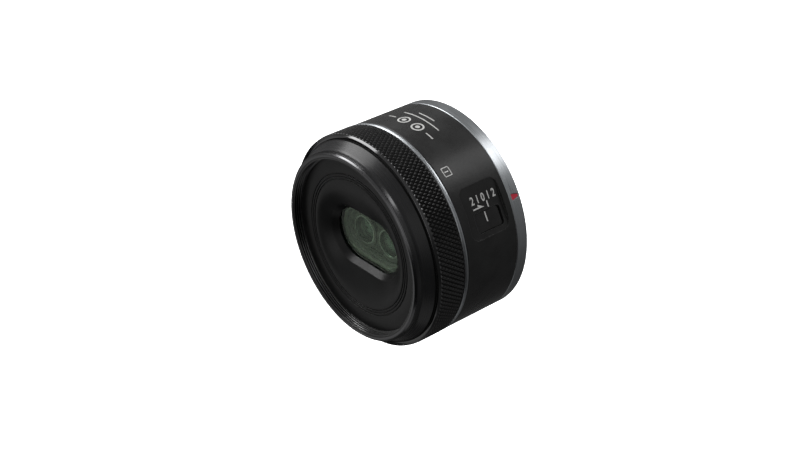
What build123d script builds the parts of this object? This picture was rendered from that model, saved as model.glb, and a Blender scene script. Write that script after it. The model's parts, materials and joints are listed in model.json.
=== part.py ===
"""Twin-optic prime camera lens, built as the assembly of its separate pieces.

Frame: the origin is the centre of the mount's flange plane, on the axis of the barrel.
-Y is the front (towards the subject), +Y is the rear (towards the camera body), +Z is the top.
+X is the side with the adjust switch. A "station" is a distance in front of the flange plane,
so a point at station s has y = -s. All lengths are in millimetres.
"""

from build123d import *
from math import asin, cos, radians, sin
import os

os.makedirs("parts", exist_ok=True)

# ---------------------------------------------------------------- driving dimensions
# Outside of the lens
FRONT = 41.4  # station of the front rim: the length of the lens in front of the mount
BARREL_R = 34.45  # mount collar and barrel
KNURL_R = 34.6  # crests of the focus ring: the largest diameter, 69.2
COLLAR_FRONT = 4.35
BARREL_FRONT = 24.2
TRIM_FRONT = 25.5
RING_REAR = 25.8
RING_FRONT = 35.8
NECK_FRONT_R = 30.45
THREAD_R = 28.594  # crests of the M58 x 0.75 filter thread

# Chassis that carries everything
CHASSIS_R = 30.6
CHASSIS_BORE = 29.2
JOURNAL_R = 32.9
JOURNAL_BORE = 31.2
JOURNAL_FRONT = 35.0
CELL_SEAT = 28.0  # station of the step that the front cell stands on
IRIS_SEAT = 20.0  # station of the step that the iris base stands on
REAR_SEAT = 4.0  # station of the step that the rear cell stands on
RUNNING = 0.06  # radial clearance of a turning fit

# Two optical systems side by side
AXIS_X = 5.9  # half of the distance between the two optical axes
TUBE_R = 5.7
SIDES = {"right": 1, "left": -1}

# Focus carriage
FOCUS_TRAVEL = 1.0
ROD_X, ROD_Z, ROD_R = 12.5, 7.0, 0.6
SCREW_X, SCREW_R = 17.5, 0.75

# Iris
BLADES = 5
PIVOT_RING, POST_R = 4.25, 0.3  # circle and radius of the posts that the blades turn on
DRIVE_RING, PIN_R = 5.3, 0.2  # circle and radius of the pins that turn the blades
BLADE_THICK, BLADE_PITCH = 0.05, 0.09  # each blade lies in a layer of its own
BLADES_REAR = 21.45

# Adjust switch: its flat lies square to a radius at this angle from +X, towards +Z
SWITCH_ANGLE = 28.0
FLAT_HEIGHT = 33.4  # distance of the flat from the axis of the barrel
FLAT_REAR, FLAT_FRONT = 6.5, 21.3
WINDOW_REAR, WINDOW_FRONT = 7.95, 18.15
WINDOW_LOW, WINDOW_HIGH = -6.48, -0.39
SLIDER_TRAVEL = 0.8

# Fasteners
PLATE_SCREW_R, PLATE_HEAD_R = 0.4, 0.75
MOUNT_SCREW_ANGLES = (20, 110, 200, 290)
MOUNT_SCREW_RING = 28.6
CABLE_ANGLE = 205.0  # where the flat cable runs along the inside of the chassis

# Half plane through the axis: local x is the radius, local y is the station.
MERIDIAN = Plane(origin=(0, 0, 0), x_dir=(1, 0, 0), z_dir=(0, 0, -1))


# ---------------------------------------------------------------- shared shapes
def station(distance):
    """The plane across the axis at a station, facing the subject: local x is X, local y is Z."""
    return Plane.XZ.offset(distance)


def polar(radius, angle):
    """(x, z) of a point at a radius and an angle from +X, towards +Z."""
    return (radius * cos(radians(angle)), radius * sin(radians(angle)))


def switch_plane(height):
    """The plane parallel to the switch's flat: local x is across it, local y is the station."""
    x, z = polar(1, SWITCH_ANGLE)
    return Plane(origin=(height * x, 0, height * z), x_dir=(-z, 0, x), z_dir=(x, 0, z))


def turned(*outline, mode=Mode.ADD):
    """Turn a closed outline of (radius, station) points about the axis of the barrel."""
    with BuildSketch(MERIDIAN) as section:
        with BuildLine():
            Polyline(*outline, close=True)
        make_face()
    revolve(section.sketch, axis=Axis.Y, mode=mode)


def halfway(radius, bulge):
    """(radius, drop from the apex) of the point halfway along a spherical face's arc."""
    sphere = (radius**2 + bulge**2) / (2 * bulge)
    half_angle = asin(radius / sphere) / 2
    return (sphere * sin(half_angle), sphere * (1 - cos(half_angle)))


def lens_shape(centre, radius, rear, front, rear_bulge, front_bulge):
    """A lens element: a disc between two stations whose faces bulge out (or in) at the middle."""
    x, z = centre
    front_middle, front_drop = halfway(radius, front_bulge)
    rear_middle, rear_drop = halfway(radius, rear_bulge)
    front_apex = front + front_bulge
    rear_apex = rear - rear_bulge
    with BuildSketch(Plane(origin=(x, 0, z), x_dir=(1, 0, 0), z_dir=(0, 0, -1))) as section:
        with BuildLine():
            Line((0, rear_apex), (0, front_apex))
            ThreePointArc((0, front_apex), (front_middle, front_apex - front_drop), (radius, front))
            Line((radius, front), (radius, rear))
            ThreePointArc((radius, rear), (rear_middle, rear_apex + rear_drop), (0, rear_apex))
        make_face()
    revolve(section.sketch, axis=Axis(origin=(x, 0, z), direction=(0, 1, 0)))


def discs(rear, front, radius, spots=((0, 0),), mode=Mode.ADD):
    """Round columns between two stations, each centred on an (x, z) spot."""
    with BuildSketch(station(rear)) as section:
        with Locations(*spots):
            Circle(radius)
    extrude(section.sketch, amount=front - rear, mode=mode)


def blocks(rear, front, width, height, spots, mode=Mode.ADD):
    """Rectangular columns between two stations: width along X, height along Z."""
    with BuildSketch(station(rear)) as section:
        with Locations(*spots):
            Rectangle(width, height)
    extrude(section.sketch, amount=front - rear, mode=mode)


def stadium(rear, front, half_length, radius, mode=Mode.ADD):
    """A column whose section is a slot along X, with round ends on the two optical axes."""
    with BuildSketch(station(rear)) as section:
        SlotCenterToCenter(2 * half_length, 2 * radius)
    extrude(section.sketch, amount=front - rear, mode=mode)


def arc_blocks(rear, front, inner, outer, angles, spread, mode=Mode.ADD):
    """Blocks bent round the axis of the barrel, each as wide as spread, in degrees."""
    for angle in angles:
        with BuildSketch(station(rear)) as section:
            Circle(outer)
            Circle(inner, mode=Mode.SUBTRACT)
            with BuildLine():
                reach = [polar(2 * outer, angle + side * spread / 2) for side in (-1, 0, 1)]
                Polyline((0, 0), *reach, close=True)
            make_face(mode=Mode.INTERSECT)
        extrude(section.sketch, amount=front - rear, mode=mode)


def switch_block(low, high, rear, front, bottom, top, corner=0.0, mode=Mode.ADD):
    """A block square to the switch's flat: across it, along the axis, and in height."""
    with BuildSketch(switch_plane(bottom)) as section:
        with Locations(((low + high) / 2, (rear + front) / 2)):
            if corner > 0:
                RectangleRounded(high - low, front - rear, corner)
            else:
                Rectangle(high - low, front - rear)
    extrude(section.sketch, amount=top - bottom, mode=mode)


def finish_part(builder, name):
    """Label a finished piece and write it to its own file."""
    builder.part.label = name
    export_step(builder.part, f"parts/{name}.step")


# ---------------------------------------------------------------- camera mount and collar
SCREW_TOPS = [
    Plane(origin=(x, 0, z), z_dir=(0, 1, 0))
    for x, z in (polar(MOUNT_SCREW_RING, angle) for angle in MOUNT_SCREW_ANGLES)
]

with BuildPart() as bayonet_mount:
    turned(
        (23.6, -5.6), (25.0, -5.6), (25.2, -5.4), (25.2, 0), (32.3, 0), (32.5, 0.2), (32.5, 1.8), (23.6, 1.8)
    )
    arc_blocks(-5.0, -3.6, 25.0, 26.8, (75, 195, 315), 52)  # bayonet lugs
    arc_blocks(-3.7, -2.4, 25.0, 26.8, (98,), 4)  # stop on the front of one lug
    with Locations(*SCREW_TOPS):
        CounterSinkHole(radius=0.85, counter_sink_radius=1.65, depth=3, counter_sink_angle=90)
    discs(0, 1.8, 1.25, [polar(29.3, 180)], mode=Mode.SUBTRACT)  # hole for the camera's lock pin
finish_part(bayonet_mount, "bayonet_mount")

with BuildPart() as mount_screw:
    with BuildSketch(Plane.XZ) as screw_outline:
        with BuildLine():
            Polyline((0, -0.03), (1.55, -0.03), (0.78, -0.8), (0.78, -3.6), (0, -3.6), close=True)
        make_face()
    revolve(axis=Axis.Z)
    with BuildSketch(Plane.XY.offset(-0.6)):
        Rectangle(1.7, 0.3)
        Rectangle(0.3, 1.7)
    extrude(amount=1, mode=Mode.SUBTRACT)

with BuildPart() as mount_screws:
    with Locations(*SCREW_TOPS):
        add(mount_screw.part)
finish_part(mount_screws, "mount_screws")

MARK_ANGLE = 27.7
MARK_FLOOR, MARK_TOP = 33.9, 34.2  # radii between which red paint fills the pocket
MARK_TAPER = -40
MARK_DIRECTION = polar(1, MARK_ANGLE)
MARK_PLANE = Plane(
    origin=(MARK_FLOOR * MARK_DIRECTION[0], 0, MARK_FLOOR * MARK_DIRECTION[1]),
    x_dir=(-MARK_DIRECTION[1], 0, MARK_DIRECTION[0]),
    z_dir=(MARK_DIRECTION[0], 0, MARK_DIRECTION[1]),
)

with BuildSketch(MARK_PLANE) as mark_outline:
    with BuildLine():
        Polyline(
            (-0.6, 2.6), (-0.6, 3.0), (0.6, 3.0), (0.6, 2.6), (0.12, 0.95), (-0.12, 0.95), close=True
        )
    make_face()

with BuildPart() as mount_collar:
    turned(
        (30.6, 1.8), (32.6, 1.8), (32.6, 0.15), (34.25, 0.15), (BARREL_R, 0.35),
        (BARREL_R, COLLAR_FRONT - 0.22), (BARREL_R - 0.22, COLLAR_FRONT), (32.6, COLLAR_FRONT),
        (32.6, 2.6), (30.6, 2.6),
    )
    extrude(mark_outline.sketch, amount=1, taper=MARK_TAPER, mode=Mode.SUBTRACT)
finish_part(mount_collar, "mount_collar")

with BuildPart() as index_mark:
    extrude(mark_outline.sketch, amount=1, taper=MARK_TAPER)
    discs(0, COLLAR_FRONT, MARK_TOP, mode=Mode.INTERSECT)
finish_part(index_mark, "index_mark")

# ---------------------------------------------------------------- barrel and its trim
LEGEND_DEPTH = 0.1  # depth of the white marks let into the switch's flat

with BuildSketch(switch_plane(FLAT_HEIGHT - LEGEND_DEPTH)) as legend_outline:
    with Locations((1.06, 11.85)):
        Rectangle(1.95, 0.42)
    with BuildLine():
        Polyline(
            (0.68, 17.6), (0.68, 13.3), (1.95, 15.6), (1.35, 15.6), (1.1, 15.15), (1.1, 17.6), close=True
        )
    make_face()

with BuildPart() as legend_marks:
    extrude(legend_outline.sketch, amount=LEGEND_DEPTH + 0.02)
finish_part(legend_marks, "legend_marks")

with BuildPart() as outer_barrel:
    turned(
        (32.3, COLLAR_FRONT), (BARREL_R - 0.15, COLLAR_FRONT), (BARREL_R, COLLAR_FRONT + 0.15),
        (BARREL_R, BARREL_FRONT - 0.2), (BARREL_R - 0.2, BARREL_FRONT), (30.75, BARREL_FRONT), (30.75, 22.8),
        (32.3, 22.8),
    )
    switch_block(-8.2, 8.2, FLAT_REAR, FLAT_FRONT, FLAT_HEIGHT, BARREL_R + 1, 2.8, mode=Mode.SUBTRACT)
    switch_block(
        WINDOW_LOW, WINDOW_HIGH, WINDOW_REAR, WINDOW_FRONT, 30, BARREL_R, 1.0, mode=Mode.SUBTRACT
    )
    extrude(legend_outline.sketch, amount=1, mode=Mode.SUBTRACT)
finish_part(outer_barrel, "outer_barrel")

with BuildPart() as trim_ring:
    turned(
        (JOURNAL_R + 0.05, BARREL_FRONT), (34.3, BARREL_FRONT), (34.5, BARREL_FRONT + 0.2),
        (34.5, TRIM_FRONT - 0.2), (34.3, TRIM_FRONT), (JOURNAL_R + 0.05, TRIM_FRONT),
    )
finish_part(trim_ring, "trim_ring")

with BuildPart() as slide_washer:
    discs(TRIM_FRONT, RING_REAR - 0.05, 34.1)
    discs(TRIM_FRONT, RING_REAR - 0.05, JOURNAL_R + 0.15, mode=Mode.SUBTRACT)
finish_part(slide_washer, "slide_washer")

# ---------------------------------------------------------------- adjust switch
SLIDER_LOW, SLIDER_HIGH = WINDOW_LOW + 0.15, WINDOW_HIGH - 0.15
SLIDER_REAR, SLIDER_FRONT = WINDOW_REAR + SLIDER_TRAVEL + 0.1, WINDOW_FRONT - 0.08
FLANGE_LOW, FLANGE_HIGH = -7.3, 0.4
SPRING_T, SPRING_H = -3.4, 31.15
LINE_LOW, LINE_HIGH = -3.86, -0.81  # white line across the slider
LINE_REAR, LINE_FRONT = 13.4, 13.82
LINE_FLOOR = FLAT_HEIGHT - 0.48

with BuildPart() as switch_base:
    switch_block(-8.2, 1.3, 6.0, 20.0, 29.65, 30.45, 0.8)
    switch_block(-8.2, 1.3, 6.0, 6.7, 30.45, 31.1)  # wall that the spring pushes on
    switch_block(-8.2, 1.3, 19.0, 20.0, 30.45, 31.1)  # wall that stops the slider
finish_part(switch_base, "switch_base")

with BuildPart() as adjust_slider:
    switch_block(SLIDER_LOW, SLIDER_HIGH, SLIDER_REAR, SLIDER_FRONT, 31.3, FLAT_HEIGHT - 0.04, 0.85)
    switch_block(FLANGE_LOW, FLANGE_HIGH, 8.4, 18.6, 30.9, 31.3, 0.4)  # keeps it inside the barrel
    scoop_radius = 26.0
    scoop_axis = Plane(
        origin=switch_plane(FLAT_HEIGHT - 0.28 + scoop_radius).from_local_coords((-8, 13.45, 0)),
        z_dir=switch_plane(0).x_dir,
    )
    with BuildSketch(scoop_axis) as scoop:
        Circle(scoop_radius)
    extrude(scoop.sketch, amount=10, mode=Mode.SUBTRACT)
    switch_block(LINE_LOW, LINE_HIGH, LINE_REAR, LINE_FRONT, LINE_FLOOR, 34, mode=Mode.SUBTRACT)
finish_part(adjust_slider, "adjust_slider")

with BuildPart() as slider_line:
    switch_block(LINE_LOW, LINE_HIGH, LINE_REAR, LINE_FRONT, LINE_FLOOR, LINE_FLOOR + 0.22)
finish_part(slider_line, "slider_line")

with BuildPart() as switch_wiper:
    switch_block(-5.0, -2.0, 10.5, 15.5, 30.75, 30.9)
    switch_block(-5.0, -4.6, 10.5, 12.5, 30.55, 30.75)
    switch_block(-2.4, -2.0, 10.5, 12.5, 30.55, 30.75)
finish_part(switch_wiper, "switch_wiper")

SPRING_REAR, SPRING_FRONT = 6.7, 8.4
SPRING_COIL_R, SPRING_WIRE_R = 0.4, 0.07
spring_start = switch_plane(SPRING_H).from_local_coords((SPRING_T, SPRING_FRONT - SPRING_WIRE_R, 0))
with BuildPart() as switch_spring:
    with BuildLine() as coil:
        Helix(
            pitch=(SPRING_FRONT - SPRING_REAR - 2 * SPRING_WIRE_R) / 5,
            height=SPRING_FRONT - SPRING_REAR - 2 * SPRING_WIRE_R,
            radius=SPRING_COIL_R,
            center=spring_start,
            direction=(0, 1, 0),
        )
    with BuildSketch(Plane(origin=coil.line @ 0, z_dir=coil.line % 0)):
        Circle(SPRING_WIRE_R)
    sweep(path=coil.line, is_frenet=True)
finish_part(switch_spring, "switch_spring")

# ---------------------------------------------------------------- chassis
SCREW_ANGLES = (45, 135, 225, 315)
CELL_SCREWS = [polar(30.2, angle) for angle in SCREW_ANGLES]
IRIS_SCREWS = [polar(28.35, angle) for angle in SCREW_ANGLES]
REAR_SCREWS = [polar(25.8, angle) for angle in SCREW_ANGLES]
SENSOR_REAR, SENSOR_FRONT = 30.2, 33.0

with BuildPart() as chassis:
    turned(
        (24.0, 1.8), (30.5, 1.8), (30.5, 2.6), (32.2, 2.6), (32.2, REAR_SEAT), (CHASSIS_R, REAR_SEAT),
        (CHASSIS_R, BARREL_FRONT), (JOURNAL_R, BARREL_FRONT), (JOURNAL_R, JOURNAL_FRONT),
        (JOURNAL_BORE, JOURNAL_FRONT), (JOURNAL_BORE, CELL_SEAT), (CHASSIS_BORE, CELL_SEAT),
        (CHASSIS_BORE, IRIS_SEAT), (27.5, IRIS_SEAT), (27.5, IRIS_SEAT - 0.9),
        (CHASSIS_BORE, IRIS_SEAT - 2.2), (CHASSIS_BORE, REAR_SEAT), (24.0, REAR_SEAT),
    )
    switch_block(-8.4, 1.5, 5.8, 20.2, 29.65, 32, 0.6, mode=Mode.SUBTRACT)  # seat of the switch
    discs(1.8, 3.7, 0.8, [polar(MOUNT_SCREW_RING, a) for a in MOUNT_SCREW_ANGLES], mode=Mode.SUBTRACT)
    discs(1.8, 3.2, 1.6, [polar(29.3, 180)], mode=Mode.SUBTRACT)  # room for the lock pin
    discs(2.3, REAR_SEAT, PLATE_SCREW_R + 0.03, REAR_SCREWS, mode=Mode.SUBTRACT)
    discs(IRIS_SEAT - 1.9, IRIS_SEAT, PLATE_SCREW_R + 0.03, IRIS_SCREWS, mode=Mode.SUBTRACT)
    discs(CELL_SEAT - 1.9, CELL_SEAT, PLATE_SCREW_R + 0.03, CELL_SCREWS, mode=Mode.SUBTRACT)
    arc_blocks(IRIS_SEAT - 3, IRIS_SEAT, 27, CHASSIS_BORE, (CABLE_ANGLE,), 14, mode=Mode.SUBTRACT)
    arc_blocks(SENSOR_REAR - 0.2, SENSOR_FRONT + 0.2, 31, 33, (CABLE_ANGLE,), 12, mode=Mode.SUBTRACT)
finish_part(chassis, "chassis")

# ---------------------------------------------------------------- focus ring
COMB_TEETH = 90

with BuildPart() as focus_ring:
    turned(
        (JOURNAL_R + RUNNING, RING_REAR), (34.3, RING_REAR), (KNURL_R, RING_REAR + 0.3), (KNURL_R, 34.35),
        (34.2, RING_FRONT), (33.95, RING_FRONT), (33.95, 35.3), (33.65, 35.3), (33.65, 34.9),
        (JOURNAL_R + RUNNING, 34.9), (JOURNAL_R + RUNNING, 33.2), (33.5, 33.2), (33.5, 30.0),
        (JOURNAL_R + RUNNING, 30.0),
    )
finish_part(focus_ring, "focus_ring")

with BuildPart() as ring_comb:
    discs(SENSOR_REAR, SENSOR_FRONT, 33.5)
    discs(SENSOR_REAR, SENSOR_FRONT, 33.3, mode=Mode.SUBTRACT)
    with BuildSketch(station(SENSOR_REAR)) as comb_teeth:
        with PolarLocations(33.25, COMB_TEETH):
            Rectangle(0.3, 1.1)
    extrude(comb_teeth.sketch, amount=1.4)
finish_part(ring_comb, "ring_comb")

# ---------------------------------------------------------------- front ring, plate and window
PLATE_R = 28.15
PLATE_FRONT = 38.4
GROOVES = (21.4, 22.2, 23.1)
DISH_R = 20.8
DISH_FLAT = 0.02  # the rim is a circle but for two tiny flats, which face the window's straight sides
WINDOW_TOP, WINDOW_EDGE = 36.04, 34.35  # stations of the outer and inner edge of the window's bevel
BEVEL_OUTER, BEVEL_INNER = 10.14, 8.46  # radii of the window's ends at those edges
GLASS_FRONT, GLASS_REAR = 34.1, 32.85

with BuildPart() as front_ring:
    turned(
        (29.6, 33.6), (31.1, 33.6), (31.1, JOURNAL_FRONT), (33.2, JOURNAL_FRONT), (33.2, 35.85),
        (33.1, 35.95), (31.04, 38.83), (30.6, 40.75), (30.3, 40.8), (30.3, 40.95), (NECK_FRONT_R, 41.0),
        (NECK_FRONT_R, FRONT - 0.15), (NECK_FRONT_R - 0.15, FRONT), (29.3, FRONT), (29.15, FRONT - 0.05),
        (THREAD_R, 41.1), (THREAD_R, 38.5), (PLATE_R + 0.05, 38.42), (PLATE_R + 0.05, 36.8), (26.5, 36.8),
        (26.5, 35.6), (29.6, 35.6),
    )
finish_part(front_ring, "front_ring")

with BuildPart() as front_plate:
    discs(36.8, PLATE_FRONT, PLATE_R)
    discs(32.2, 36.8, 25.5)
    for groove in GROOVES:
        turned(
            (groove - 0.25, PLATE_FRONT + 0.1), (groove - 0.13, PLATE_FRONT - 0.3),
            (groove + 0.13, PLATE_FRONT - 0.3), (groove + 0.25, PLATE_FRONT + 0.1), mode=Mode.SUBTRACT,
        )
    with BuildSketch(station(PLATE_FRONT)) as dish_rim:
        SlotCenterToCenter(DISH_FLAT, 2 * DISH_R)
    with BuildSketch(station(WINDOW_TOP)) as dish_floor:
        SlotCenterToCenter(2 * AXIS_X, 2 * BEVEL_OUTER)
    loft([dish_floor.sketch.face(), dish_rim.sketch.face()], mode=Mode.SUBTRACT)
    with BuildSketch(station(WINDOW_EDGE)) as window_edge:
        SlotCenterToCenter(2 * AXIS_X, 2 * BEVEL_INNER)
    loft([window_edge.sketch.face(), dish_floor.sketch.face()], ruled=True, mode=Mode.SUBTRACT)
    stadium(32.2, WINDOW_EDGE, AXIS_X, BEVEL_INNER, mode=Mode.SUBTRACT)
    stadium(32.2, GLASS_FRONT, AXIS_X, 9.35, mode=Mode.SUBTRACT)
finish_part(front_plate, "front_plate")

with BuildPart() as window_glass:
    stadium(GLASS_REAR, GLASS_FRONT, AXIS_X, 9.3)
finish_part(window_glass, "window_glass")

with BuildPart() as window_retainer:
    stadium(32.2, GLASS_REAR, AXIS_X, 9.3)
    stadium(32.2, GLASS_REAR, AXIS_X, 8.4, mode=Mode.SUBTRACT)
finish_part(window_retainer, "window_retainer")

# ---------------------------------------------------------------- front cell and its elements
BOTH_AXES = [(AXIS_X, 0), (-AXIS_X, 0)]
CELL_FLANGE_FRONT = CELL_SEAT + 1.5

with BuildPart() as front_cell:
    discs(CELL_SEAT, CELL_FLANGE_FRONT, JOURNAL_BORE - 0.1)
    discs(23.4, 30.6, TUBE_R + 0.1, BOTH_AXES)
    discs(23.4, 28.4, 4.45, BOTH_AXES, mode=Mode.SUBTRACT)
    discs(28.4, 30.6, 4.75, BOTH_AXES, mode=Mode.SUBTRACT)
    discs(CELL_SEAT, CELL_FLANGE_FRONT, PLATE_SCREW_R + 0.05, CELL_SCREWS, mode=Mode.SUBTRACT)
    arc_blocks(CELL_SEAT, CELL_FLANGE_FRONT, 28.6, 32, (CABLE_ANGLE,), 14, mode=Mode.SUBTRACT)
finish_part(front_cell, "front_cell")

for side, sign in SIDES.items():
    with BuildPart() as front_element:
        lens_shape((sign * AXIS_X, 0), 4.7, 28.4, 29.7, -0.5, 1.4)
    finish_part(front_element, f"front_element_{side}")

    with BuildPart() as second_element:
        lens_shape((sign * AXIS_X, 0), 4.4, 24.6, 26.0, -0.4, -0.4)
    finish_part(second_element, f"second_element_{side}")

with BuildPart() as front_retainers:
    discs(30.0, 30.6, 4.7, BOTH_AXES)
    discs(30.0, 30.6, 4.3, BOTH_AXES, mode=Mode.SUBTRACT)
finish_part(front_retainers, "front_retainers")

# ---------------------------------------------------------------- iris unit
IRIS_FLOOR = 20.8
COVER_REAR, COVER_FRONT = 22.3, 22.9
BLADE_ANGLES = [index * 360 / BLADES for index in range(BLADES)]


def around(sign, radius, angle):
    """(x, z) at a radius and an angle about one optical axis. The left unit is the right one, turned half."""
    x, z = polar(radius, angle)
    return (sign * (AXIS_X + x), sign * z)


with BuildPart() as iris_base:
    discs(IRIS_SEAT, IRIS_FLOOR, 29.1)
    discs(IRIS_SEAT, IRIS_FLOOR, 3.7, BOTH_AXES, mode=Mode.SUBTRACT)
    for sign in SIDES.values():
        posts = [around(sign, PIVOT_RING, angle) for angle in BLADE_ANGLES]
        discs(IRIS_FLOOR, COVER_REAR, POST_R, posts)
        rod_ends = [(sign * ROD_X, ROD_Z), (sign * ROD_X, -ROD_Z)]
        discs(IRIS_SEAT, IRIS_SEAT + 0.6, ROD_R + 0.02, rod_ends, mode=Mode.SUBTRACT)
        discs(IRIS_SEAT, IRIS_FLOOR, 0.5, [(sign * SCREW_X, 0)], mode=Mode.SUBTRACT)
    discs(IRIS_SEAT, IRIS_FLOOR, PLATE_SCREW_R + 0.05, IRIS_SCREWS, mode=Mode.SUBTRACT)
    arc_blocks(IRIS_SEAT, IRIS_FLOOR, 28.6, 30, (CABLE_ANGLE,), 14, mode=Mode.SUBTRACT)
finish_part(iris_base, "iris_base")

RING_BACK, RING_FACE = IRIS_FLOOR + 0.05, 21.35
ARM_HALF_WIDTH = 0.8
COILS_LOWER, COILS_UPPER = -1.9, 2.8  # z of the two coils beside the arm of the right drive ring

for side, sign in SIDES.items():
    with BuildPart() as iris_ring:
        discs(RING_BACK, RING_FACE, 5.75, [(sign * AXIS_X, 0)])
        blocks(RING_BACK, RING_FACE, 5, 2 * ARM_HALF_WIDTH, [(sign * (AXIS_X + 7.4), 0)])
        discs(RING_BACK, RING_FACE, 4.6, [(sign * AXIS_X, 0)], mode=Mode.SUBTRACT)
        for angle in BLADE_ANGLES:
            with BuildSketch(station(RING_BACK)) as slot:
                with Locations(around(sign, DRIVE_RING - 0.05, angle)):
                    SlotCenterToCenter(0.14, 0.54, rotation=angle)
            extrude(slot.sketch, amount=RING_FACE - RING_BACK, mode=Mode.SUBTRACT)
    finish_part(iris_ring, f"iris_ring_{side}")

    for index, angle in enumerate(BLADE_ANGLES):
        back = BLADES_REAR + index * BLADE_PITCH
        turn = angle + (180 if sign < 0 else 0)
        with BuildPart() as iris_blade:
            with BuildSketch(Plane.XY) as blade_outline:
                with BuildLine():
                    CenterArc((0, 0), 3.8, -8, 108)
                    CenterArc((0, 0), 2.1, -8, 108)
                    Line(polar(2.1, -8), polar(3.8, -8))
                    Line(polar(2.1, 100), polar(3.8, 100))
                make_face()
                with Locations((4.3, 0)):
                    RectangleRounded(2.7, 1.0, 0.45)
                with Locations((PIVOT_RING, 0)):
                    Circle(POST_R + 0.02, mode=Mode.SUBTRACT)
            blade_plane = Plane(
                origin=(sign * AXIS_X, -back, 0),
                x_dir=(cos(radians(turn)), 0, sin(radians(turn))),
                z_dir=(0, -1, 0),
            )
            extrude(blade_plane * blade_outline.sketch, amount=BLADE_THICK)
            discs(RING_BACK + 0.05, back, PIN_R, [around(sign, DRIVE_RING, angle)])
        finish_part(iris_blade, f"iris_blade_{side}_{index + 1}")

with BuildPart() as iris_cover:
    stadium(COVER_REAR, COVER_FRONT, AXIS_X, 5.8)
    discs(COVER_REAR, COVER_FRONT, 3.6, BOTH_AXES, mode=Mode.SUBTRACT)
finish_part(iris_cover, "iris_cover")

with BuildPart() as iris_coils:
    for sign in SIDES.values():
        coil_spots = [(sign * 14.2, sign * COILS_LOWER), (sign * 14.2, sign * COILS_UPPER)]
        blocks(IRIS_FLOOR, 22.2, 2.6, 1.7, coil_spots)
finish_part(iris_coils, "iris_coils")

# ---------------------------------------------------------------- focus carriages
FOCUS_REAR = 12.0
FOCUS_FRONT = IRIS_SEAT - FOCUS_TRAVEL - 0.4  # stops short of the iris base at the end of the travel

for side, sign in SIDES.items():
    main_rod = (sign * ROD_X, sign * ROD_Z)
    guide_rod = (sign * ROD_X, -sign * ROD_Z)
    with BuildPart() as focus_cell:
        discs(FOCUS_REAR, FOCUS_FRONT, TUBE_R, [(sign * AXIS_X, 0)])
        blocks(14.4, 15.8, 13.0, 3.0, [(sign * (AXIS_X + 6.9), 0)])
        blocks(14.4, 15.8, 2.2, 15.4, [(sign * ROD_X, 0)])
        discs(12.6, 18.2, 1.3, [main_rod])
        discs(14.4, 15.8, 1.3, [guide_rod])
        discs(13.2, 17.0, 1.5, [(sign * SCREW_X, 0)])
        discs(FOCUS_REAR, FOCUS_FRONT, 4.4, [(sign * AXIS_X, 0)], mode=Mode.SUBTRACT)
        discs(12.6, 18.2, ROD_R + 0.04, [main_rod, guide_rod], mode=Mode.SUBTRACT)
        discs(13.2, 17.0, SCREW_R + 0.05, [(sign * SCREW_X, 0)], mode=Mode.SUBTRACT)
    finish_part(focus_cell, f"focus_cell_{side}")

    with BuildPart() as focus_element:
        lens_shape((sign * AXIS_X, 0), 4.4, 14.6, 16.4, 0.7, 0.9)
    finish_part(focus_element, f"focus_element_{side}")

    with BuildPart() as lead_screw:
        discs(12.05, 19.8, SCREW_R, [(sign * SCREW_X, 0)])
        discs(11.0, 12.05, 0.4, [(sign * SCREW_X, 0)])
        discs(19.8, 20.6, 0.45, [(sign * SCREW_X, 0)])
    finish_part(lead_screw, f"lead_screw_{side}")

    with BuildPart() as focus_motor:
        discs(5.4, 12.0, 3.5, [(sign * SCREW_X, 0)])
        discs(10.9, 12.0, 0.45, [(sign * SCREW_X, 0)], mode=Mode.SUBTRACT)
    finish_part(focus_motor, f"focus_motor_{side}")

with BuildPart() as guide_rods:
    all_rods = [(x * ROD_X, z * ROD_Z) for x in (1, -1) for z in (1, -1)]
    discs(4.6, 20.5, ROD_R, all_rods)
finish_part(guide_rods, "guide_rods")

# ---------------------------------------------------------------- rear cell
REAR_FLANGE_FRONT = 5.4

with BuildPart() as rear_cell:
    discs(REAR_SEAT, REAR_FLANGE_FRONT, 27.3)
    discs(0.4, 10.0, TUBE_R, BOTH_AXES)
    discs(REAR_FLANGE_FRONT, 6.6, 27.3)
    discs(REAR_FLANGE_FRONT, 6.6, 24.0, mode=Mode.SUBTRACT)
    discs(REAR_FLANGE_FRONT, 10.0, TUBE_R, BOTH_AXES)
    discs(0.4, 10.0, 4.55, BOTH_AXES, mode=Mode.SUBTRACT)
    discs(4.6, REAR_FLANGE_FRONT, ROD_R + 0.02, all_rods, mode=Mode.SUBTRACT)
    discs(REAR_SEAT, REAR_FLANGE_FRONT, PLATE_SCREW_R + 0.05, REAR_SCREWS, mode=Mode.SUBTRACT)
    discs(REAR_FLANGE_FRONT, 6.6, 1.1, REAR_SCREWS, mode=Mode.SUBTRACT)
    blocks(REAR_SEAT, REAR_FLANGE_FRONT, 10.5, 2.6, [(0, -21.5)], mode=Mode.SUBTRACT)  # contact leads
finish_part(rear_cell, "rear_cell")

for side, sign in SIDES.items():
    with BuildPart() as rear_element:
        lens_shape((sign * AXIS_X, 0), 4.5, 1.6, 3.2, 0.9, 0.5)
    finish_part(rear_element, f"rear_element_{side}")

with BuildPart() as rear_baffle:
    discs(-2.2, -1.2, 23.5)
    discs(-1.2, REAR_SEAT, 23.5)
    discs(-1.2, REAR_SEAT, 22.6, mode=Mode.SUBTRACT)
    with BuildSketch(station(-2.2)) as baffle_windows:
        with Locations((AXIS_X, 0), (-AXIS_X, 0)):
            RectangleRounded(8.6, 9.6, 1.2)
    extrude(baffle_windows.sketch, amount=1, mode=Mode.SUBTRACT)
    arc_blocks(-2.2, -1.2, 20.4, 24, (270,), 56, mode=Mode.SUBTRACT)  # opening of the contact block
finish_part(rear_baffle, "rear_baffle")

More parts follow.
